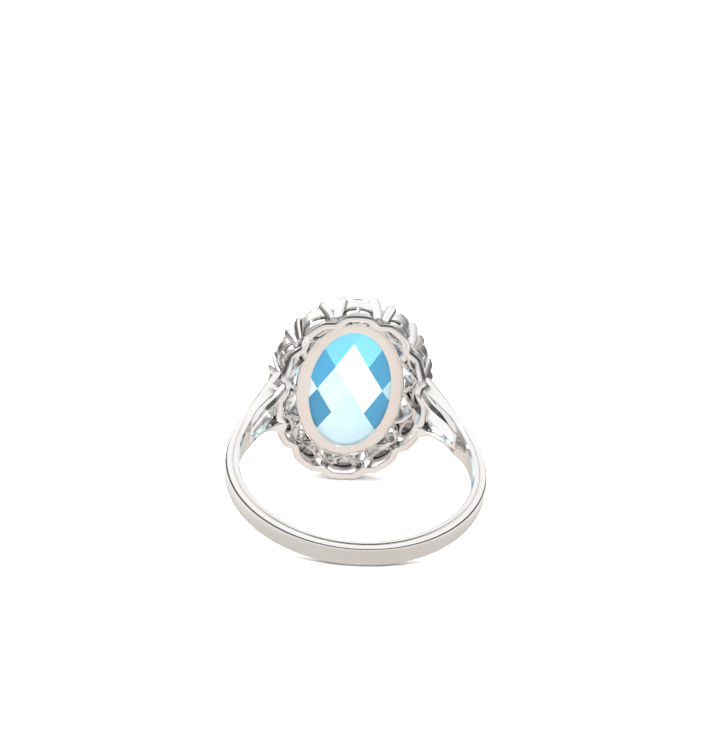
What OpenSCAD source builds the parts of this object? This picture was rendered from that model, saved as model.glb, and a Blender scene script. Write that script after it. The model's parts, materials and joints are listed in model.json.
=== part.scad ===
// Cocktail ring: a slim band that splits into four arms, a scalloped gallery
// and an oval centre stone ringed by twelve oval accent stones.
// It is drawn as it lies at rest: on the back of the band and on the end
// scallop of the gallery rail.  Millimetres throughout.

/* [Band] */
// Inside diameter of the band, the finger hole
finger_d = 16.8; // [16.4:0.1:17.2]
// Wall of the band at the back
band_t = 1.06; // [0.9:0.02:1.3]
// Width of the band at the back, along the finger
band_w = 1.56; // [1.4:0.02:1.8]
// Radius of the crown across the outside of the band
crown_r = 4; // [3:0.5:8]

/* [Shoulders] */
// Height above the finger axis where the band splits into its two arms
split_y = 3.9; // [3.5:0.1:4.3]
// Depth of the inner wire of each arm
wire_t = 0.46; // [0.36:0.02:0.5]
// Spread of the arms along the finger at the head, over their outer edges
arm_spread = 4.1; // [3.9:0.05:4.2]

/* [Gallery] */
// Length of the scalloped rail along the finger, between its valleys
rail_l = 14.1; // [13.9:0.1:14.2]
// Width of the scalloped rail across the finger, between its valleys
rail_w = 9.8; // [9.7:0.1:10]
// Height of one scallop
scallop = 0.5; // [0.3:0.02:0.52]
// Width of the rail's wire
rail_wire = 0.6; // [0.5:0.02:0.64]

/* [Window] */
// Length of the window under the centre stone
window_l = 10.68; // [10.4:0.02:10.8]
// Width of the window under the centre stone
window_w = 6.06; // [5.8:0.02:6.2]
// Width of the plate around the window
plate_rim = 1.02; // [0.8:0.02:1.1]

/* [Stones] */
// Length of the centre stone
gem_l = 12; // [11.8:0.1:12.2]
// Width of the centre stone
gem_w = 8; // [7.8:0.1:8.2]
// Length of an accent stone
accent_l = 3; // [2.8:0.05:3.1]
// Width of an accent stone
accent_w = 2; // [1.9:0.05:2.1]
// Length of the oval on which the accent stones are centred
halo_l = 13.8; // [13.8:0.1:14.1]
// Width of the oval on which the accent stones are centred
halo_w = 10.3; // [10.2:0.1:10.6]

/* [Hidden] */
STONES = 12;

finger_r = finger_d / 2;
band_r = finger_r + band_t;
silver = [0.86, 0.86, 0.85];
bright = [0.93, 0.92, 0.90];

// Heights above the finger axis, out through the head
rail_y = finger_r + 0.03;
rail_h = 0.42;
rail_edge = 0.12;
rail_dip = 1.75;
collet_y = 8.95;
lower_h = 0.45;
slot_h = 0.28;
band_h = 0.7;
girdle_y = collet_y + lower_h + slot_h + band_h;
claw_top = girdle_y + 0.22;
plate_y = 9.5;
ledge_h = 0.28;
plate_h = 0.44;
seat_y = plate_y + ledge_h;

// Claws of the accent stones: thickness, and how far out their tips reach
claw_d = 0.44;
claw_reach = accent_w / 2 + 0.12;

// Levels of the centre stone above its seat: height, width and length as parts of the girdle's
gem_levels = [[-0.22, 0.28, 0.46], [0, 0.775, 0.903], [1.25, 0.84, 0.905], [2.2, 1, 1],
    [2.36, 1, 1], [3.4, 0.74, 0.82], [3.9, 0.42, 0.55]];
gem_slice = 0.05;

// ---- Placing ----

// From the ring's own axes (finger along Z, head towards +Y) to how it lies.
module as_it_lies() {
    translate([0, rest_shift, rest_lift]) rotate([tilt, 0, 0]) children();
}

// Draws the head looking down on it: x across, y along the finger, z outwards.
module head(height) {
    translate([0, height, 0]) rotate([90, 0, 0]) mirror([0, 0, 1]) children();
}

// ---- The oval of accent stones ----

STEP = 0.25;
function oval(w, l, t) = [w / 2 * cos(t), l / 2 * sin(t)];
function oval_speed(t) = norm([halo_w / 2 * sin(t), halo_l / 2 * cos(t)]) * STEP * PI / 180;
oval_length = [for (t = [0:STEP:360 - STEP]) oval_speed(t)] * [for (t = [0:STEP:360 - STEP]) 1];
pitch = oval_length / STONES;

// Angle on the oval after going the distance s round it.
function oval_angle(s, t = 0) =
    s <= 0 ? t + s / oval_speed(t) * STEP : oval_angle(s - oval_speed(t), t + STEP);
function halo_angle(k) = oval_angle(k * pitch);
function tangent_angle(t) = atan2(halo_l / 2 * cos(t), -halo_w / 2 * sin(t));

// ---- Centre line of the scalloped rail: across, along, outwards ----

// Each scallop is straight for this part of the pitch on either side of its stone.
CREST = 0.25;
function scallop_at(k) = scallop * min(1, 1.35 * sqrt(pow(cos(180 * k), 2) + 0.05));
function rail_curve(k) =
    let (t = halo_angle(k), s = 2 * scallop_at(k))
    concat(oval(rail_w + s, rail_l + s, t), -rail_dip * pow(abs(cos(t)), 8));
function rail_point(k) =
    let (part = (k - round(k)) / CREST, a = rail_curve(round(k) - CREST), b = rail_curve(round(k) + CREST))
    abs(part) < 1 ? a * (1 - part) / 2 + b * (1 + part) / 2 : rail_curve(k);

// ---- How the ring lies: the band's lower back edge and the rail's end are on the surface ----

back_r = band_r - crown_r + sqrt(pow(crown_r, 2) - pow(band_w / 2, 2));
end_reach = rail_point(STONES / 4)[1] + rail_wire / 2;
tilt = atan((end_reach - band_w / 2) / (rail_y + rail_edge + back_r));
rest_lift = back_r * sin(tilt) + band_w / 2 * cos(tilt);

// The front and back of the ring are level with each other about the origin.
front_reach = max([for (level = gem_levels)
    (seat_y + level[0] + gem_slice) * cos(tilt) + gem_l / 2 * level[2] * sin(tilt)]);
rest_shift = (back_r * cos(tilt) + band_w / 2 * sin(tilt) - front_reach) / 2;

module oval_plate(w, l, h, points = 72) {
    linear_extrude(h) polygon([for (i = [0:points - 1]) oval(w, l, 360 * i / points)]);
}

module oval_tube(w, l, wall, h, points = 72) {
    difference() {
        oval_plate(w, l, h, points);
        translate([0, 0, -1]) oval_plate(w - 2 * wall, l - 2 * wall, h + 2, points);
    }
}

// Draws at the k-th accent stone, with x along the halo and y across it, outwards.
module at_halo(k) {
    t = halo_angle(k);
    translate(oval(halo_w, halo_l, t)) rotate(tangent_angle(t) + 180) children();
}

// ---- Shank: band, inner wires and arms, cast in one ----

arm_top = collet_y;
arm_x = 5.97;
band_end_a = 27;
wire_end_a = 53.5;
core_r = finger_r + 0.25;

function on_circle(r, a) = [r * cos(a), r * sin(a)];

module band_section() {
    intersection() {
        translate([finger_r - 0.5, -2]) square([band_t + 1, 4]);
        translate([band_r - crown_r, 0]) circle(crown_r, $fn = 90);
    }
}

// Inner wire of one shoulder: it hugs the finger as far as the gallery rail.
module inner_wire() {
    start_a = band_end_a - 5;
    rotate_extrude(angle = wire_end_a - start_a, start = start_a, $fn = 180)
        translate([finger_r - 0.5, -3]) square([wire_t + 0.5, 6]);
}

// Outer layer of one shoulder, seen along the finger: it leaves the band and rises
// to the accent stones, with a wedge of air between it and the inner wire.
module arm_side() {
    polygon([on_circle(core_r, 23), on_circle(core_r, 32), on_circle(core_r + 0.05, 41),
        [5.62, 7.2], [5.62, 7.5], [5.35, 8.2], [5.35, arm_top], [arm_x, arm_top],
        on_circle(band_r - 0.02, 28), on_circle(band_r - 0.16, 23)]);
}

// Outlines seen from the side, each split at the crotch: band with outer arms, inner wires.
module arms_front() {
    out = arm_spread / 2;
    difference() {
        mirrored_outline([[-12, band_w / 2], [-1, band_w / 2], [2, 0.95], [4, 1.34], [5, 1.56],
            [6, 1.78], [7, out - 0.1], [arm_top, out], [12, out]]);
        mirrored_outline([[split_y, 0], [4.35, 0.38], [5, 0.5], [6, 0.58], [13, 0.66]]);
    }
}

module wires_front() {
    difference() {
        mirrored_outline([[2, 0.9], [3.5, 0.78], [4.45, 0.9], [5.5, 1.26], [6.14, 1.55], [6.8, 2.2], [8, 2.5]]);
        mirrored_outline([[split_y, 0], [4.35, 0.5], [5.4, 0.86], [6.45, 1.12], [9, 1.3]]);
    }
}

// Closes an outline of points above the axis with their mirror images below it.
module mirrored_outline(half) {
    back = [for (i = [len(half) - 1:-1:0]) if (half[i][1] != 0) [half[i][0], -half[i][1]]];
    polygon(concat(half, back));
}

module from_side() {
    rotate([90, 0, 90]) linear_extrude(24, center = true) children();
}

module shank() {
    color(silver) as_it_lies() difference() {
        union() {
            intersection() {
                union() {
                    rotate_extrude(angle = 180 + 2 * band_end_a, start = 180 - band_end_a, $fn = 180)
                        band_section();
                    for (m = [0, 1]) mirror([m, 0, 0]) linear_extrude(8, center = true) arm_side();
                }
                from_side() arms_front();
            }
            intersection() {
                for (m = [0, 1]) mirror([m, 0, 0]) inner_wire();
                from_side() wires_front();
            }
        }
        cylinder(r = finger_r, h = 10, center = true, $fn = 180);
    }
}

// ---- Gallery ----

// Turns a step along the rail into the unit vector square to it, pointing out of the oval.
function outward(step) = [step[1], -step[0], 0] / norm([step[0], step[1]]);

module rail_loop() {
    rings = 8 * STONES;
    u = rail_wire / 2;
    e = rail_edge;
    section = [[-u + e, 0], [u - e, 0], [u, e], [u, rail_h - e],
        [u - e, rail_h], [-u + e, rail_h], [-u, rail_h - e], [-u, e]];
    n = len(section);
    function rail_at(i) = rail_point((i % rings) / 8);
    points = [for (i = [0:rings - 1], q = section)
        rail_at(i) + outward(rail_at(i + 1) - rail_at(i + rings - 1)) * q[0] + [0, 0, q[1]]];
    faces = [for (i = [0:rings - 1], j = [0:n - 1], half = [0, 1])
        let (a = i * n + j, b = i * n + (j + 1) % n, c = (i + 1) % rings * n + (j + 1) % n,
            d = (i + 1) % rings * n + j)
        half == 0 ? [a, b, c] : [a, c, d]];
    polyhedron(points, faces);
}

// Posts in the valleys of the rail carry the collets.
module rail_posts() {
    foot = rail_h - 0.1;
    for (k = [1.5, 2.5, 3.5, 4.5, 7.5, 8.5, 9.5, 10.5])
        translate(rail_point(k) + [0, 0, foot])
            cylinder(d = 0.4, h = collet_y + 0.4 - rail_y - foot - rail_point(k)[2], $fn = 16);
}

module gallery_rail() {
    color(silver) as_it_lies() head(rail_y) {
        rail_loop();
        rail_posts();
    }
}

// Oval plate round the window, with a ledge inside that the centre stone sits on.
module window_plate() {
    ledge = 0.25;
    outer_w = window_w + 2 * plate_rim;
    outer_l = window_l + 2 * plate_rim;
    color(bright) as_it_lies() head(plate_y) {
        oval_tube(outer_w, outer_l, plate_rim, ledge_h);
        translate([0, 0, ledge_h]) oval_tube(outer_w, outer_l, plate_rim - ledge, plate_h - ledge_h);
    }
}

// Zigzag of struts between the plate and the feet of the collets.
module gallery_filigree() {
    low = 9.05;
    depth = 0.4;
    color(silver) as_it_lies() head(low)
        for (k = [0:STONES - 1], side = [-0.5, 0.5]) {
            inner = oval(window_w + 2 * plate_rim + 0.3, window_l + 2 * plate_rim + 0.3, halo_angle(k));
            outer = oval(halo_w - 0.5, halo_l - 0.5, halo_angle(k + side));
            hull() {
                translate(inner) cylinder(d = 0.6, h = depth, $fn = 12);
                translate(outer) cylinder(d = 0.4, h = depth, $fn = 12);
            }
        }
}

// ---- Centre stone and its setting ----

module centre_setting() {
    wall = 0.28;
    inner_w = 6.9;
    inner_l = 11.1;
    color(silver) as_it_lies() head(seat_y) {
        translate([0, 0, plate_h - ledge_h])
            oval_tube(inner_w + 2 * wall, inner_l + 2 * wall, wall, 1.14);
        for (t = [42, 55, 125, 138, 222, 235, 305, 318]) {
            foot = oval(inner_w + wall, inner_l + wall, t);
            bend = oval(gem_w + 0.75, gem_l + 0.75, t);
            tip = oval(gem_w - 0.5, gem_l - 0.5, t);
            hull() {
                translate(concat(foot, 0.9)) sphere(d = 0.55, $fn = 12);
                translate(concat(bend, 2.3)) sphere(d = 0.6, $fn = 12);
            }
            hull() {
                translate(concat(bend, 2.3)) sphere(d = 0.6, $fn = 12);
                translate(concat(tip, 3.05)) sphere(d = 0.5, $fn = 12);
            }
        }
    }
}

module centre_gem() {
    color([0.45, 0.82, 0.95]) as_it_lies() head(seat_y) hull()
        for (level = gem_levels)
            translate([0, 0, level[0]]) oval_plate(gem_w * level[1], gem_l * level[2], gem_slice, 24);
}

// ---- Accent stones and their collets ----

// A round rod between two points.
module rod(from, to, d) {
    v = to - from;
    translate(from) rotate([0, acos(v[2] / norm(v)), atan2(v[1], v[0])]) cylinder(d = d, h = norm(v), $fn = 20);
}

// Collet, widening upwards: lower rim, pierced slot with a bar across it, upper band
// in two steps, and four claws. The outer claws start beside the neighbouring collets'.
module halo_collet(k) {
    wall = 0.2;
    rim_l = 2.1;
    rim_w = 1.2;
    step_h = band_h / 2;
    bar = 0.3;
    top = claw_top - collet_y;
    color(silver) as_it_lies() head(collet_y) at_halo(k) {
        oval_tube(rim_l, rim_w, wall, lower_h, 32);
        translate([0, 0, lower_h + slot_h]) oval_tube(accent_l - 0.4, accent_w - 0.34, wall + 0.12, step_h + 0.05, 32);
        translate([0, 0, lower_h + slot_h + step_h]) oval_tube(accent_l, accent_w - 0.04, wall + 0.06, step_h, 32);
        for (side = [-1, 1])
            rod([0, side * (rim_w / 2 - wall / 2), lower_h - 0.15],
                [0, side * (accent_w / 2 - 0.3), lower_h + slot_h + 0.15], bar);
        for (end = [-1, 1]) {
            rod([end * 1.34, 0.3, 0], [end * 1.08, claw_reach - claw_d / 2, top], claw_d);
            rod([end * 0.78, -0.34, 0], [end * 0.78, -accent_w / 2 + 0.04, top], claw_d);
        }
    }
}

module halo_stone(k) {
    color([0.95, 0.97, 0.98]) as_it_lies() head(girdle_y) at_halo(k) hull() {
        translate([0, 0, -0.9]) oval_plate(0.8, 0.3, 0.04, 12);
        translate([0, 0, 0.02]) oval_plate(accent_l, accent_w, 0.08, 24);
        translate([0, 0, 0.42]) oval_plate(accent_l * 0.6, accent_w * 0.6, 0.04, 12);
    }
}

shank();
gallery_rail();
window_plate();
gallery_filigree();
centre_setting();
centre_gem();
halo_collet(0);  // halo_collet_01
halo_collet(1);  // halo_collet_02
halo_collet(2);  // halo_collet_03
halo_collet(3);  // halo_collet_04
halo_collet(4);  // halo_collet_05
halo_collet(5);  // halo_collet_06
halo_collet(6);  // halo_collet_07
halo_collet(7);  // halo_collet_08
halo_collet(8);  // halo_collet_09
halo_collet(9);  // halo_collet_10
halo_collet(10);  // halo_collet_11
halo_collet(11);  // halo_collet_12
halo_stone(0);  // halo_stone_01
halo_stone(1);  // halo_stone_02
halo_stone(2);  // halo_stone_03
halo_stone(3);  // halo_stone_04
halo_stone(4);  // halo_stone_05
halo_stone(5);  // halo_stone_06
halo_stone(6);  // halo_stone_07
halo_stone(7);  // halo_stone_08
halo_stone(8);  // halo_stone_09
halo_stone(9);  // halo_stone_10
halo_stone(10);  // halo_stone_11
halo_stone(11);  // halo_stone_12
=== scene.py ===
import json
from math import atan2, cos, hypot, pi, radians, sin

import bmesh
import bpy
from mathutils import Matrix, Vector


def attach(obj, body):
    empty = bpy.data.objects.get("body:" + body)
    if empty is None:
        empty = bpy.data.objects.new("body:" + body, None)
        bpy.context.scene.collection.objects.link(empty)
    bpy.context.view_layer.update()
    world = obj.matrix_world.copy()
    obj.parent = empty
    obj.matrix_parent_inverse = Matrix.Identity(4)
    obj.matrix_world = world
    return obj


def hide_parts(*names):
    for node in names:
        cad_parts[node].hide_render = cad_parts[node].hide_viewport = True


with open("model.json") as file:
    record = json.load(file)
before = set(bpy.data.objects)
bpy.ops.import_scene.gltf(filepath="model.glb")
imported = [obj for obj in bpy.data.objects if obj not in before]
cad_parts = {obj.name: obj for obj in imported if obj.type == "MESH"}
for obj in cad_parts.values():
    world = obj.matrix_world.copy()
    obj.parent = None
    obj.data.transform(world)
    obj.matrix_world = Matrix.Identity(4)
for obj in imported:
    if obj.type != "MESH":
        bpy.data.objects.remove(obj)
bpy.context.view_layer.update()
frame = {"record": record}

scene = bpy.context.scene


# ---- Camera ----
# A long lens looks down a little over the back of the band, through the finger
# hole, at the underside of the head.
lens = bpy.data.cameras.new("camera")
lens.lens = 137.45
lens.sensor_width = 36
lens.clip_start = 0.01
camera = bpy.data.objects.new("camera", lens)
camera.location = (-0.017855, -0.196452, 0.067015)
camera.rotation_euler = (radians(74.078), radians(-3.453), radians(-4.236))
scene.collection.objects.link(camera)
scene.camera = camera


# ---- Tabletop and studio light ----
# A matt white tabletop under a white tent with soft folds.  Dark cards stand low
# round the table and give the polished metal its crisp lines.  The metal mirrors
# a floor of its own, warm near the ring and dark further out.
class Lead:
    """A lead from one output of a shader tree, or the tree's loose end."""

    def __init__(self, tree, end=None):
        self.tree = tree
        self.end = end

    def node(self, kind, settings=(), sockets=(), out=0):
        made = self.tree.nodes.new("ShaderNode" + kind)
        for key, value in dict(settings).items():
            if key == "stops":
                row = made.color_ramp.elements
                row.remove(row[1])
                row[0].position, row[0].color = value[0]
                for place, colour in value[1:]:
                    row.new(place).color = colour
            else:
                setattr(made, key, value)
        for key, value in dict(sockets).items():
            if isinstance(value, Lead):
                self.tree.links.new(value.end, made.inputs[key])
            else:
                made.inputs[key].default_value = value
        return Lead(self.tree, made.outputs[out] if made.outputs else None)

    def maths(self, operation, other):
        return self.node("Math", {"operation": operation}, {0: self, 1: other})

    def __add__(self, other):
        return self.maths("ADD", other)

    def __sub__(self, other):
        return self.maths("SUBTRACT", other)

    def __mul__(self, other):
        return self.maths("MULTIPLY", other)


GENERATED, OBJECT = 0, 3  # outputs of the texture coordinates
GLOSSY_RAY = 3  # output of the light path


def grey(value):
    return (value, value, value, 1)


def new_finish(name):
    finish = bpy.data.materials.new(name)
    finish.use_nodes = True
    finish.node_tree.nodes.clear()
    return finish, Lead(finish.node_tree)


def mixed(lead, factor, first, second):
    """Colour mixed from first to second as factor goes from 0 to 1."""
    return lead.node("Mix", {"data_type": "RGBA"}, {"Factor": factor, 6: first, 7: second}, out=2)


def ramp(lead, stops, factor):
    """Colour read off a row of (place, colour) stops."""
    return lead.node("ValToRGB", {"stops": stops}, {0: factor})


def noise(lead, place, scale, detail):
    return lead.node("TexNoise", sockets={"Vector": place, "Scale": scale, "Detail": detail})


tent = bpy.data.worlds.new("tent")
tent.use_nodes = True
tent.node_tree.nodes.clear()
air = Lead(tent.node_tree)
sky_way = air.node("TexCoord", out=GENERATED)
height = air.node("SeparateXYZ", sockets={0: sky_way}, out=2) * 0.5 + 0.5
wall = ramp(air, [
    (0.0, grey(0.5)), (0.50, grey(0.30)), (0.515, grey(0.03)), (0.56, grey(0.05)),
    (0.585, (0.40, 0.395, 0.39, 1)), (0.68, (0.60, 0.595, 0.58, 1)), (0.78, grey(0.78)),
    (0.84, grey(1.05)), (1.0, grey(1.05))], height)
folds = ramp(air, [(0.38, grey(1.0)), (0.44, grey(0.42)), (0.50, grey(1.0))],
             noise(air, sky_way, 2.6, 1.0))
fold_depth = ramp(air, [(0.70, grey(0.8)), (0.86, grey(0.15))], height)
walls = air.node("Mix", {"data_type": "RGBA", "blend_type": "MULTIPLY"},
                 {"Factor": fold_depth, 6: wall, 7: folds}, out=2)
air.node("OutputWorld", sockets={0: air.node("Background", sockets={0: walls, 1: 1.0})})
scene.world = tent


def softbox(name, place, target, size, power, mirrored, tint=(1, 1, 1)):
    """Square lamp that faces its target; mirrored says whether the metal shows it."""
    light = bpy.data.lights.new(name, "AREA")
    light.size = size
    light.energy = power
    light.color = tint
    box = bpy.data.objects.new(name, light)
    box.location = place
    box.visible_glossy = mirrored
    box.rotation_euler = (Vector(target) - Vector(place)).to_track_quat("-Z", "Y").to_euler()
    scene.collection.objects.link(box)


softbox("overhead", (-0.05, -0.06, 0.40), (0, 0, 0.005), 0.90, 8.0, False)
softbox("window", (-0.26, 0.02, 0.22), (0, 0, 0.008), 0.14, 0.35, True)
softbox("lamp", (0.20, -0.26, 0.24), (0, 0, 0.008), 0.05, 0.10, True, (1, 0.97, 0.93))

paper, lead = new_finish("white_tabletop")
place = lead.node("TexCoord", out=OBJECT)
fibre = noise(lead, place, 900.0, 4.0)
sheet = lead.node("BsdfPrincipled", sockets={
    "Base Color": mixed(lead, fibre, (0.955, 0.953, 0.952, 1), (0.975, 0.974, 0.973, 1)),
    "Roughness": 0.9, "Specular IOR Level": 0.1})
squeezed = lead.node("VectorMath", {"operation": "MULTIPLY"}, {0: place, 1: (1.3, 1, 1)})
distance = lead.node("VectorMath", {"operation": "LENGTH"}, {0: squeezed}, out=1)
floor_glow = ramp(lead, [
    (0.0, (0.93, 0.86, 0.81, 1)), (0.04, (0.90, 0.83, 0.78, 1)), (0.058, (0.66, 0.62, 0.58, 1)),
    (0.07, (0.68, 0.65, 0.61, 1)), (0.10, (0.95, 0.92, 0.90, 1)), (0.15, (0.92, 0.91, 0.90, 1)),
    (0.22, grey(0.50)), (0.5, grey(0.10))], distance * 5.0)
in_mirror = lead.node("LightPath", out=GLOSSY_RAY)
shine = lead.node("Emission", sockets={0: floor_glow, 1: 1.0})
lead.node("OutputMaterial", sockets={
    0: lead.node("MixShader", sockets={0: in_mirror, 1: sheet, 2: shine})})
bm = bmesh.new()
bmesh.ops.create_grid(bm, x_segments=1, y_segments=1, size=1.6)
top = bpy.data.meshes.new("tabletop")
bm.to_mesh(top)
bm.free()
tabletop = bpy.data.objects.new("tabletop", top)
top.materials.append(paper)
scene.collection.objects.link(tabletop)

scene.view_settings.view_transform = "Standard"
scene.view_settings.look = "None"


# ---- Shank ----
# Slim crowned band, cast in silver-coloured metal and polished bright.  Each
# shoulder splits into two rising arms, with an inner wire under each arm that
# hugs the finger.  A fine line runs round both sides of the band.
FINGER_R = 8.4
BAND_R = 9.46
CROWN_R = 4.0
WIRE_R = 8.86
EDGE = 0.05
GROOVE = 0.45  # where the fine line runs, from the inside to the outside
GROOVE_SLOPE = 1.54
CROWN_REACH = 1.9
ARM_FOOT = (8.70, 3.7)
ARM_LEAN = 0.519

hole = frame["record"]["mounts"][0]
lean = atan2(-hole["axis"][1], hole["axis"][2])
LIE = Matrix.Translation(hole["pos_m"]) @ Matrix.Rotation(lean, 4, "X") @ Matrix.Scale(0.001, 4)


def polished(name, tint, warm, haze, mark):
    """Bright plated metal: faint colour drift, polishing haze, hairline marks and painted shade in
    its crevices.
    """
    finish, lead = new_finish(name)
    satin = lead.node("Attribute", {"attribute_name": "satin"}, out=2)
    place = lead.node("TexCoord", out=OBJECT)
    cloud = noise(lead, place, 1100.0, 5.0)
    drawn = lead.node("VectorMath", {"operation": "MULTIPLY"}, {0: place, 1: (1.0, 6.0, 1.6)})
    hairs = noise(lead, drawn, 5200.0, 3.0)
    pit = ramp(lead, [(0.0, grey(0.0)), (0.09, grey(1.0))],
               lead.node("TexVoronoi", sockets={"Vector": place, "Scale": 2300.0}))
    drift = ramp(lead, [(0.35, grey(0.0)), (0.68, grey(1.0))], noise(lead, place, 190.0, 2.0))
    # Painted shade: the colour turns dark grey in crevices and recesses, where ambient occlusion
    # finds little open air.
    open_air = lead.node("AmbientOcclusion", {"samples": 6}, {"Distance": 0.0005}, out=1)
    unshaded_share = ramp(lead, [(0.08, grey(0.0)), (0.40, grey(1.0))], open_air)
    painted_crevice_shade = (0.13, 0.125, 0.12, 1)
    bump = lead.node("Bump", sockets={
        "Strength": mark, "Distance": 0.00001, "Height": hairs * 0.6 + cloud * 0.5 + pit * 0.25})
    metal = lead.node("BsdfPrincipled", sockets={
        "Base Color": mixed(lead, unshaded_share, painted_crevice_shade, mixed(lead, drift, tint, warm)), "Metallic": 1.0,
        "Roughness": cloud * haze + hairs * 0.04 + 0.03 + satin, "Normal": bump})
    lead.node("OutputMaterial", sockets={0: metal})
    return finish


bright = polished("polished_metal", (0.93, 0.935, 0.93, 1), (0.90, 0.87, 0.85, 1), 0.12, 0.10)


def ring_of(bm, points):
    corners = [bm.verts.new(point) for point in points]
    return [bm.edges.new((a, b)) for a, b in zip(corners, corners[1:] + corners[:1])]


def loft(bm, sections, closed=False):
    """Skins a row of like outlines, and caps its ends unless it closes on itself."""
    rings = [ring_of(bm, points) for points in sections]
    for near, far in zip(rings, rings[1:] + rings[:1] if closed else rings[1:]):
        bmesh.ops.bridge_loops(bm, edges=near + far)
    if not closed:
        bmesh.ops.edgeloop_fill(bm, edges=rings[0])
        bmesh.ops.edgeloop_fill(bm, edges=rings[-1])


def finished(name, bm, finish, nodes, crease, satin=0.0):
    """Turns the mesh into a piece that lies with the ring and rides on it.

    Edges sharper than crease degrees stay crisp; satin roughens the polish.
    """
    bmesh.ops.recalc_face_normals(bm, faces=bm.faces)
    softness = bm.faces.layers.float.new("satin")
    for face in bm.faces:
        face.smooth = True
        face[softness] = satin
    for edge in bm.edges:
        if len(edge.link_faces) == 2 and edge.calc_face_angle() > radians(crease):
            edge.smooth = False
    bm.transform(LIE)
    mesh = bpy.data.meshes.new(name)
    bm.to_mesh(mesh)
    bm.free()
    mesh.materials.append(finish)
    piece = bpy.data.objects.new(name, mesh)
    scene.collection.objects.link(piece)
    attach(piece, "root")
    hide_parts(*nodes)


def read_off(table, at):
    """Value at a place on a table of rising places and values."""
    if at <= table[0][0]:
        return table[0][1]
    for (a, low), (b, high) in zip(table, table[1:]):
        if at <= b:
            return low + (high - low) * (at - a) / (b - a)
    return table[-1][1]


def on_circle(radius, degrees):
    return Vector((radius * cos(radians(degrees)), radius * sin(radians(degrees))))


# By height above the finger's axis: half the width of the shank, half the gap
# between its arms.
HALF_WIDTH = [(-3, 0.78), (0, 0.83), (2, 0.98), (3, 1.13), (4, 1.34), (5, 1.57), (6, 1.77),
              (7, 1.94), (9, 2.05)]
GAP = [(3.9, 0), (3.97, 0.13), (4.1, 0.24), (4.35, 0.36), (4.7, 0.45), (5.2, 0.52), (6, 0.58),
       (9, 0.64)]


def band_section(inner, outer):
    """Half a section of the band or of an arm, between its inner and outer points."""
    y = (inner.y + outer.y) / 2
    low, high = read_off(GAP, y), read_off(HALF_WIDTH, y)
    depth = (outer - inner).length
    crown = read_off([(3, 1), (7, 0.25)], y)
    groove = read_off([(-8, 0.10), (-4, 0.06), (3.4, 0.05), (4.4, 0.0)], y)
    slant = radians(read_off([(-8.9, 30), (-6.3, 37), (0, 58)], y))
    bevel = read_off([(3.4, 0.20), (4.2, 0.07)], y)
    fall = read_off([(4.2, 0), (6, 0.24)], y)

    def drop(z):
        return (CROWN_R - (CROWN_R ** 2 - min(z, CROWN_REACH) ** 2) ** 0.5) / depth * crown

    edge = EDGE / depth
    rim = 1 - drop(high)
    lip = max(groove, 0.02)
    across = [(0, low), (0, high - bevel * sin(slant) - fall),
              (bevel * cos(slant) / depth, high - fall),
              (GROOVE - lip, high), (GROOVE, high - GROOVE_SLOPE * groove),
              (GROOVE + lip, high), (rim - 2 * edge, high - 0.4 * fall),
              (rim - 1.2 * edge, high - 0.3 * EDGE - 0.45 * fall),
              (rim, high - 2 * EDGE - 0.5 * fall)]
    for part in (0.75, 0.5, 0.25, 0):
        z = low + (high - low) * part
        across.append((1 - drop(z), z))
    return [(*(inner + (outer - inner) * part), z) for part, z in across]


def outer_line(y):
    """Point on the straight outside of an arm, at a height."""
    return Vector((ARM_FOOT[0] - (y - ARM_FOOT[1]) * ARM_LEAN, y))


stations = [(on_circle(FINGER_R, a), on_circle(BAND_R, a)) for a in range(-90, 20, 5)]
stations += [(on_circle(FINGER_R, 20), on_circle(BAND_R, 19.5)),
             (on_circle(FINGER_R, 23.5), outer_line(3.72))]
stations += [(on_circle(radius, a), outer_line(y)) for radius, a, y in [
    (8.42, 25.2, 3.93), (8.43, 26.6, 4.08), (8.46, 28, 4.25), (8.5, 29.6, 4.5),
    (8.56, 31.6, 4.85), (8.62, 34, 5.3), (8.68, 38, 5.9), (8.73, 42, 6.5), (8.84, 46.7, 7.1),
    (9.0, 51.2, 7.7), (9.2, 55.4, 8.3), (9.5, 58.8, 8.7), (9.85, 61.2, 8.98)]]
half = [band_section(inner, outer) for inner, outer in stations]
flip = [[(-x, y, z) for x, y, z in points] for points in half[:0:-1]]
bm = bmesh.new()
loft(bm, flip + half)
middle = [face for face in bm.faces if all(abs(vert.co.z) < 1e-4 for vert in face.verts)]
bmesh.ops.delete(bm, geom=middle, context="FACES_ONLY")
bmesh.ops.mirror(bm, geom=bm.verts[:] + bm.edges[:] + bm.faces[:], axis="Z", merge_dist=0.002)

# By angle round the finger: where an inner wire starts and ends across the ring.
WIRE_GAP = [(26.5, 0.02), (27.7, 0.05), (29, 0.30), (31.2, 0.55), (35, 0.73), (40, 0.86),
            (46, 0.98), (54, 1.15)]
WIRE_TOP = [(25, 0.7), (32, 0.86), (41, 1.26), (47, 1.5), (50, 1.8), (53.5, 2.25)]


def wire_section(degrees):
    low, high = read_off(WIRE_GAP, degrees), read_off(WIRE_TOP, degrees)
    inner = read_off([(26.5, 8.46), (28.5, 8.395)], degrees)
    bevel = read_off([(34, EDGE), (42, 0.34)], degrees)
    return [(*on_circle(radius, degrees), z) for radius, z in [
        (inner, low + EDGE), (inner, high - bevel), (inner + bevel / 2, high),
        (WIRE_R - EDGE, high), (WIRE_R, high - EDGE), (WIRE_R, low + EDGE), (WIRE_R - EDGE, low),
        (inner + EDGE, low)]]


wire = [wire_section(26.5 + 1.5 * step) for step in range(19)]
for side in (1, -1):
    for up in (1, -1):
        loft(bm, [[(side * x, y, up * z) for x, y, z in points] for points in wire])
finished("shank_cast", bm, bright, ["shank"], crease=24)


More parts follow.
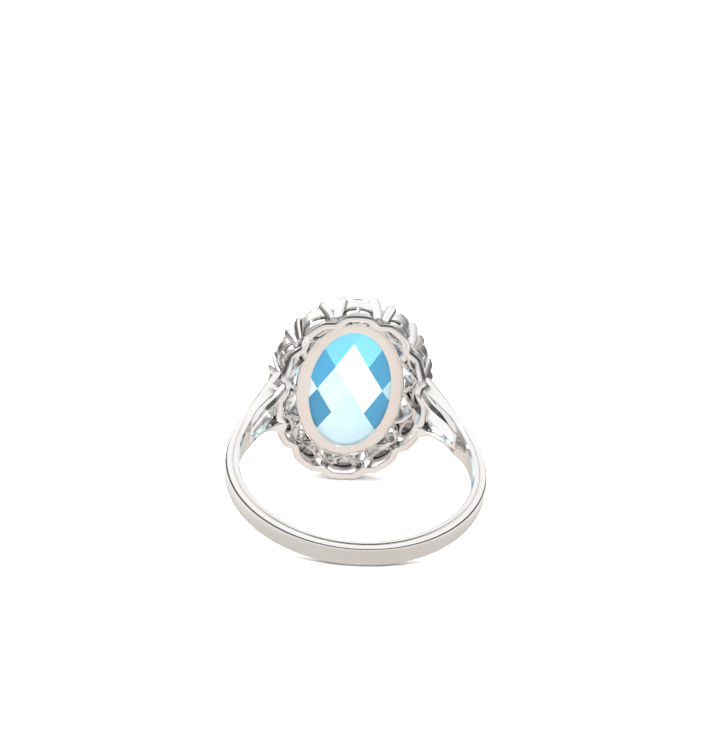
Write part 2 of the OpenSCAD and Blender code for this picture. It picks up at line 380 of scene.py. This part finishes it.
# ---- Gallery rail ----
# Closed scalloped wire under the head, with two facets that meet in a ridge
# towards the finger.  It dips at the shoulders, and short posts stand in its valleys.
STONES = 12
PER_STONE = 16  # steps along the rail for each stone
HALO = (10.3, 13.8)
RAIL = (9.8, 14.1)
RAIL_Y = 8.43
RAIL_DIP = 1.75
SCALLOP = 0.5
COLLET_Y = 8.95


def even_angles(width, length, count):
    """Angles on an oval that part it into equal lengths, from the +X shoulder."""
    steps = 1440
    turns = [2 * pi * i / steps for i in range(steps)]
    lengths = [hypot(width * sin(turn), length * cos(turn)) for turn in turns]
    gap, gone, found = sum(lengths) / count, 0.0, []
    for i, piece in enumerate(lengths):
        while len(found) * gap <= gone + piece and len(found) < count:
            found.append(2 * pi * (i + (len(found) * gap - gone) / piece) / steps)
        gone += piece
    return found


def rail_point(k, angle):
    """Point k on the middle of the rail, which bulges at each stone."""
    wave = SCALLOP * min(1, 1.3 * (cos(pi * k / PER_STONE) ** 2 + 0.05) ** 0.5)
    return Vector(((RAIL[0] / 2 + wave) * cos(angle), RAIL_Y - RAIL_DIP * abs(cos(angle)) ** 8,
                   (RAIL[1] / 2 + wave) * sin(angle) - 0.17 * max(0, sin(angle)) ** 2))


centres = [rail_point(k, angle) for k, angle in enumerate(even_angles(*HALO, STONES * PER_STONE))]

# Across the rail and up from its ridge.
profile = [(-0.28, 0.13), (-0.27, 0.24), (-0.12, 0.41), (0.10, 0.41), (0.26, 0.25), (0.29, 0.17),
           (0.28, 0.124), (0.14, 0.043), (0.02, 0.008), (-0.02, 0.008), (-0.26, 0.07)]


def rail_section(k):
    step = centres[(k + 1) % len(centres)] - centres[k - 1]
    out = Vector((step.z, 0, -step.x)).normalized()
    return [centres[k] + out * across + Vector((0, lift, 0)) for across, lift in profile]


def rod(bm, path, sizes, sides=10, flat=1.0):
    """A rod along a path of points, with its own half-thickness at each point."""
    path = [Vector(point) for point in path]
    sections = []
    for i, point in enumerate(path):
        way = (path[min(i + 1, len(path) - 1)] - path[max(i - 1, 0)]).normalized()
        a = way.cross(Vector((0.31, 0.17, 0.93))).normalized()
        b = way.cross(a)
        turns = [2 * pi * n / sides for n in range(sides)]
        sections.append([point + (a * cos(turn) + b * flat * sin(turn)) * sizes[i]
                         for turn in turns])
    loft(bm, sections)


bm = bmesh.new()
loft(bm, [rail_section(k) for k in range(len(centres))], closed=True)
for valley in (1.5, 2.5, 3.5, 4.5, 7.5, 8.5, 9.5, 10.5):
    foot = centres[int(valley * PER_STONE)]
    path = [foot + Vector((0, lift, 0)) for lift in (0.3, 0.45, 0.7)]
    rod(bm, path + [Vector((foot.x, COLLET_Y + 0.5, foot.z))], [0.27, 0.2, 0.17, 0.2])
finished("rail_wire", bm, bright, ["gallery_rail"], crease=18)


# ---- Window plate ----
# Flat polished oval plate round the window, its edges softened by hand
# polishing, with the ledge behind it that the centre stone sits on.
PLATE_Y = 9.5
WINDOW = (3.03, 5.34)
RIM = 1.02
LEDGE = 0.25


def oval_lathe(bm, rings, base, count):
    """Skins a closed profile of (half width, half length, height) round an oval."""
    turns = [2 * pi * n / count for n in range(count)]
    loft(bm, [[(half_w * cos(turn), base + h, half_l * sin(turn)) for turn in turns]
              for half_w, half_l, h in rings], closed=True)


brushed = polished("plate_metal", (0.94, 0.925, 0.905, 1), (0.90, 0.86, 0.83, 1), 0.30, 0.22)
bm = bmesh.new()
oval_lathe(bm, [(WINDOW[0] + grow, WINDOW[1] + grow, h) for grow, h in [
    (0, 0.28), (0, 0.10), (0.03, 0.03), (0.10, 0.0), (RIM - 0.12, 0.0), (RIM - 0.03, 0.03),
    (RIM, 0.12), (RIM, 0.28), (RIM - 0.06, 0.44), (LEDGE, 0.44), (LEDGE, 0.28)]], PLATE_Y, 128)
finished("plate_rim", bm, brushed, ["window_plate"], crease=40)


# ---- Gallery filigree ----
# Cast leaf-shaped struts that spring from the edge of the plate in pairs and
# meet between the collets, leaving small pierced triangles.
PLATE_EDGE = (WINDOW[0] + RIM - 0.02, WINDOW[1] + RIM - 0.02)
STRUT_ROOT_Y = 9.62
STRUT_TIP_Y = 9.2
STRUT_TIPS = (4.98, 6.72)


def strut(bm, root, tip):
    """A bowed leaf from the plate's edge at one angle to the collets at another."""
    start = Vector((PLATE_EDGE[0] * cos(root), STRUT_ROOT_Y, PLATE_EDGE[1] * sin(root)))
    end = Vector((STRUT_TIPS[0] * cos(tip), STRUT_TIP_Y, STRUT_TIPS[1] * sin(tip)))
    bow = (start + end) / 2 + Vector((cos(root) * 0.24, -0.22, sin(root) * 0.24))
    parts = [n / 8 for n in range(9)]
    rod(bm, [start * (1 - t) ** 2 + bow * 2 * t * (1 - t) + end * t ** 2 for t in parts],
        [0.13 + 0.17 * sin(pi * min(1, t * 1.15)) + 0.08 * (1 - t) for t in parts],
        sides=8, flat=0.8)


bm = bmesh.new()
feet = even_angles(*HALO, 2 * STONES)
for k in range(0, 2 * STONES, 2):
    strut(bm, feet[k], feet[k - 1])
    strut(bm, feet[k], feet[k + 1])
finished("filigree_struts", bm, bright, ["gallery_filigree"], crease=40,
         satin=0.05)


# ---- Centre setting ----
# Oval tube soldered on the plate, with four pairs of round claws that bend
# over the edge of the centre stone.
SEAT_Y = 9.78
bm = bmesh.new()
oval_lathe(bm, [(3.45, 5.55, 0.16), (3.73, 5.83, 0.16), (3.73, 5.83, 1.24), (3.70, 5.80, 1.30),
                (3.50, 5.60, 1.30), (3.45, 5.55, 1.24)], SEAT_Y, 96)
for angle in (42, 55, 125, 138, 222, 235, 305, 318):
    c, s = cos(radians(angle)), sin(radians(angle))
    rod(bm, [Vector((half_w * c, SEAT_Y + h, half_l * s)) for half_w, half_l, h in [
        (3.60, 5.70, 0.55), (3.80, 5.90, 1.2), (4.18, 6.22, 1.9), (4.30, 6.33, 2.35),
        (4.22, 6.26, 2.75), (4.00, 6.02, 3.0), (3.78, 5.78, 3.08), (3.66, 5.66, 3.04)]],
        [0.26, 0.27, 0.28, 0.29, 0.30, 0.28, 0.20, 0.09], sides=12)
finished("claw_basket", bm, bright, ["centre_setting"], crease=40)


# ---- Centre stone ----
# Oval sky-blue stone, 12 by 8 mm, cut in a diamond checkerboard on both faces.
# Its facets carry painted light: some are painted nearly white as painted reflections, others deep
# blue.
GEM = (4.0, 6.0)
BASE = (3.1, 5.42)
GIRDLE_H = 2.2
CELL = 1.22  # half the width of a diamond facet
SIDE_CUTS = 24


def cut(bm, point, normal):
    """Grinds away everything outside a plane and closes the new facet."""
    made = bmesh.ops.bisect_plane(bm, geom=bm.verts[:] + bm.edges[:] + bm.faces[:], dist=1e-5,
                                  plane_co=point, plane_no=normal, clear_outer=True)
    rim = [part for part in made["geom_cut"] if isinstance(part, bmesh.types.BMEdge)]
    if len(rim) > 2:
        bmesh.ops.edgeloop_fill(bm, edges=rim)


def oval_block(bm, half_w, half_l, low, high, count):
    """Upright oval block, the rough from which a stone is cut."""
    made = bmesh.ops.create_circle(bm, cap_ends=True, radius=1, segments=count)
    lie = Matrix(((half_w, 0, 0, 0), (0, 0, 1, low), (0, half_l, 0, 0), (0, 0, 0, 1)))
    bmesh.ops.transform(bm, matrix=lie, verts=made["verts"])
    made = bmesh.ops.extrude_face_region(bm, geom=bm.faces[:])
    top = [part for part in made["geom"] if isinstance(part, bmesh.types.BMVert)]
    bmesh.ops.translate(bm, vec=(0, high - low, 0), verts=top)


def dome(bm, base, rise, half_w, half_l, sign):
    """Diamond facets that wrap a shallow oval dome; sign is 1 above and -1 below."""
    for i in range(-6, 7):
        for j in range(-6, 7):
            if (i + j) % 2 == 0:
                continue
            x, z = i * CELL, j * CELL * half_l / half_w
            level = (x / half_w) ** 2 + (z / half_l) ** 2
            if level < 1.5:
                point = Vector((x, base + sign * rise * (1 - level), z))
                slope = Vector((2 * rise * x / half_w ** 2, sign, 2 * rise * z / half_l ** 2))
                cut(bm, point, slope)


bm = bmesh.new()
oval_block(bm, *GEM, SEAT_Y - 0.3, SEAT_Y + 3.98, 48)
dome(bm, SEAT_Y + 2.36, 1.58, *GEM, 1)
dome(bm, SEAT_Y + 0.02, 0.24, *BASE, -1)
for n in range(SIDE_CUTS):
    turn = 2 * pi * (n + 0.5) / SIDE_CUTS
    c, s = cos(turn), sin(turn)
    around = Vector((c / GEM[0], 0, s / GEM[1])).normalized()
    taper = around.dot(Vector(((GEM[0] - BASE[0]) * c, 0, (GEM[1] - BASE[1]) * s))) / GIRDLE_H
    cut(bm, Vector((GEM[0] * c, SEAT_Y + GIRDLE_H, GEM[1] * s)), around - Vector((0, taper, 0)))

# Painted light: how bright the facets near the window's edge are painted, by angle from the +X
# side.
PAINTED_EDGE_LIGHT = [(-180, 0.90), (-166, 0.84), (-152, 0.0), (-130, 0.05), (-118, 0.84), (-62, 0.82),
        (-50, 0.12), (-25, 0.06), (-12, 0.80), (10, 0.70), (24, 0.10), (50, 0.16), (62, 0.52),
        (78, 0.50), (100, 0.46), (116, 0.40), (130, 0.22), (155, 0.18), (168, 0.84), (180, 0.90)]
painted_light = bm.faces.layers.float.new("facet")
# Painted light on each facet: the crown gets a wave of lighter and darker facets, the pavilion a
# painted highlight in its middle and painted edge light.
for face in bm.faces:
    x, y, z = face.calc_center_median()
    if y > SEAT_Y + GIRDLE_H:
        face[painted_light] = 0.42 + 0.30 * sin(x * 2.7 + z * 1.9)
        continue
    reach = hypot(x / 3.05, z / 5.36)
    painted_edge_light = read_off(PAINTED_EDGE_LIGHT, atan2(z, x) * 180 / pi)
    in_painted_highlight = abs(x - 0.2) / 2.1 + abs(z - 1.4) / 3.0 < 1
    painted_heart_light = 1.0 if in_painted_highlight else 0.84 + 0.07 * sin(x * 5 + z * 3)
    share = max(0.0, min(1.0, (reach - 0.46) / 0.16))
    face[painted_light] = painted_heart_light * (1 - share) + painted_edge_light * share

blue, lead = new_finish("blue_stone")
facet = lead.node("Attribute", {"attribute_name": "facet"}, out=2)
veil = noise(lead, lead.node("TexCoord", out=OBJECT), 420.0, 3.0)
blue_and_painted_light = ramp(lead, [
    (0.0, (0.01, 0.20, 0.36, 1)), (0.25, (0.03, 0.31, 0.53, 1)), (0.5, (0.16, 0.57, 0.72, 1)),
    (0.8, (0.42, 0.62, 0.70, 1)), (0.97, (0.74, 0.78, 0.79, 1))], facet + veil * 0.08 - 0.04)
# Painted light: the stone also glows faintly in its painted colour.
glass = lead.node("BsdfPrincipled", sockets={
    "Base Color": blue_and_painted_light, "Roughness": 0.03, "IOR": 1.62, "Coat Weight": 1.0, "Coat Roughness": 0.02,
    "Transmission Weight": 0.12, "Emission Color": blue_and_painted_light, "Emission Strength": 0.12})
lead.node("OutputMaterial", sockets={0: glass})
finished("oval_stone", bm, blue, ["centre_gem"], crease=1)


# ---- Accent stones and their collets ----
# Twelve oval colourless stones, 3 by 2 mm.  Each sits in its own pierced collet:
# a lower rim, a slot crossed by small bars, a stepped upper band, and four claws.
ACCENT = (1.5, 1.0)
GIRDLE_Y = 10.38
MAIN_CUTS = 8
BREAK_CUTS = 16

white, lead = new_finish("white_stone")
facet = lead.node("Attribute", {"attribute_name": "facet"}, out=2)
fleck = noise(lead, lead.node("TexCoord", out=OBJECT), 1500.0, 2.0)
# Painted light: the colourless stones are painted from dark grey to white, facet by facet, as
# painted reflections, and they glow faintly.
painted_stone_light = ramp(lead, [
    (0.0, (0.16, 0.17, 0.18, 1)), (0.35, (0.55, 0.57, 0.58, 1)), (0.7, (0.88, 0.90, 0.91, 1)),
    (1.0, (1, 1, 1, 1))], facet + fleck * 0.2 - 0.1)
glass = lead.node("BsdfPrincipled", sockets={
    "Base Color": painted_stone_light, "Roughness": 0.02, "IOR": 1.9, "Coat Weight": 1.0, "Coat Roughness": 0.02,
    "Transmission Weight": 0.25, "Emission Color": painted_stone_light, "Emission Strength": 0.12})
lead.node("OutputMaterial", sockets={0: glass})


def to_stone(angle):
    """Places a collet drawn at the origin, its length along X, outwards along Z."""
    x, z = HALO[0] / 2 * cos(angle), HALO[1] / 2 * sin(angle)
    turn = atan2(HALO[0] * sin(angle), HALO[1] * cos(angle))
    along, out = Vector((-sin(turn), 0, cos(turn))), Vector((cos(turn), 0, sin(turn)))
    return Matrix(((along.x, 0, out.x, x), (0, 1, 0, 0), (along.z, 0, out.z, z), (0, 0, 0, 1)))


def collet(bm):
    """Pierced collet: lower rim, two bars, stepped upper band, four claws."""
    oval_lathe(bm, [(0.80, 0.36, 0.20), (0.85, 0.40, 0.17), (0.96, 0.50, 0.17),
                    (1.01, 0.55, 0.21), (1.10, 0.62, 0.49), (1.06, 0.59, 0.53),
                    (0.92, 0.46, 0.53), (0.83, 0.39, 0.49)], COLLET_Y, 32)
    oval_lathe(bm, [(1.12, 0.64, 0.65), (1.18, 0.70, 0.61), (1.27, 0.79, 0.61),
                    (1.32, 0.84, 0.66), (1.46, 0.945, 1.30), (1.43, 0.92, 1.33),
                    (1.43, 0.92, 1.36), (1.49, 0.98, 1.39), (1.49, 0.98, 1.43),
                    (1.44, 0.93, 1.45), (1.36, 0.85, 1.42), (1.24, 0.74, 1.1)], COLLET_Y, 32)
    for foot, head in [(0.54, 0.76), (-0.54, -0.76)]:
        rod(bm, [(0, COLLET_Y + 0.36, foot), (0, COLLET_Y + 0.82, head)], [0.13, 0.13], sides=8)
    for end in (-1, 1):
        rod(bm, [(end * x, COLLET_Y + h, z) for x, h, z in [
            (1.47, 0.02, 0.24), (1.42, 0.45, 0.42), (1.29, 1.0, 0.68), (1.17, 1.35, 0.84),
            (1.06, 1.60, 0.86), (0.98, 1.70, 0.76)]],
            [0.30, 0.37, 0.40, 0.37, 0.28, 0.12], sides=8, flat=0.5)
        rod(bm, [(end * x, COLLET_Y + h, z) for x, h, z in [
            (0.78, 0.02, -0.34), (0.80, 0.9, -0.74), (0.84, 1.35, -0.93), (0.82, 1.60, -0.90),
            (0.78, 1.68, -0.80)]], [0.16, 0.18, 0.20, 0.18, 0.08])


def facet_plane(turn, level):
    """Point on an accent stone's outline at a height over its girdle, and the way out."""
    c, s = cos(turn), sin(turn)
    return (Vector((ACCENT[0] * c, GIRDLE_Y + level, ACCENT[1] * s)),
            Vector((c / ACCENT[0], 0, s / ACCENT[1])).normalized())


def accent_stone(bm, k):
    """Brilliant-like oval: eight main and sixteen smaller cuts above and below."""
    oval_block(bm, *ACCENT, GIRDLE_Y - 0.9, GIRDLE_Y + 0.46, 32)
    for n in range(MAIN_CUTS):
        for level, slope in [(0.0, -1.35), (0.10, 1.2)]:
            point, out = facet_plane(2 * pi * n / MAIN_CUTS, level)
            cut(bm, point, out + Vector((0, slope, 0)))
    for n in range(BREAK_CUTS):
        for level, slope in [(0.1, 0.8), (0.0, -0.95)]:
            point, out = facet_plane(2 * pi * (n + 0.5) / BREAK_CUTS, level)
            cut(bm, point, out + Vector((0, slope, 0)))
    painted_light = bm.faces.layers.float.new("facet")
    for face in bm.faces:
        x, y, z = face.calc_center_median()
        # Painted shade: the outer crown facets are painted darker, and every facet is lighter or
        # darker in a wave of painted sparkle.
        depth = 0.26 if y > GIRDLE_Y and z > 0.5 else 0.5
        face[painted_light] = depth * (1 + sin(x * 9.0 + z * 13.0 + y * 5.0 + k))


for k, angle in enumerate(even_angles(*HALO, STONES)):
    bm = bmesh.new()
    collet(bm)
    bm.transform(to_stone(angle))
    finished(f"collet_{k + 1:02d}", bm, bright, [f"halo_collet_{k + 1:02d}"],
             crease=30, satin=0.20)

    bm = bmesh.new()
    accent_stone(bm, k)
    bm.transform(to_stone(angle))
    finished(f"accent_{k + 1:02d}", bm, white, [f"halo_stone_{k + 1:02d}"],
             crease=1)
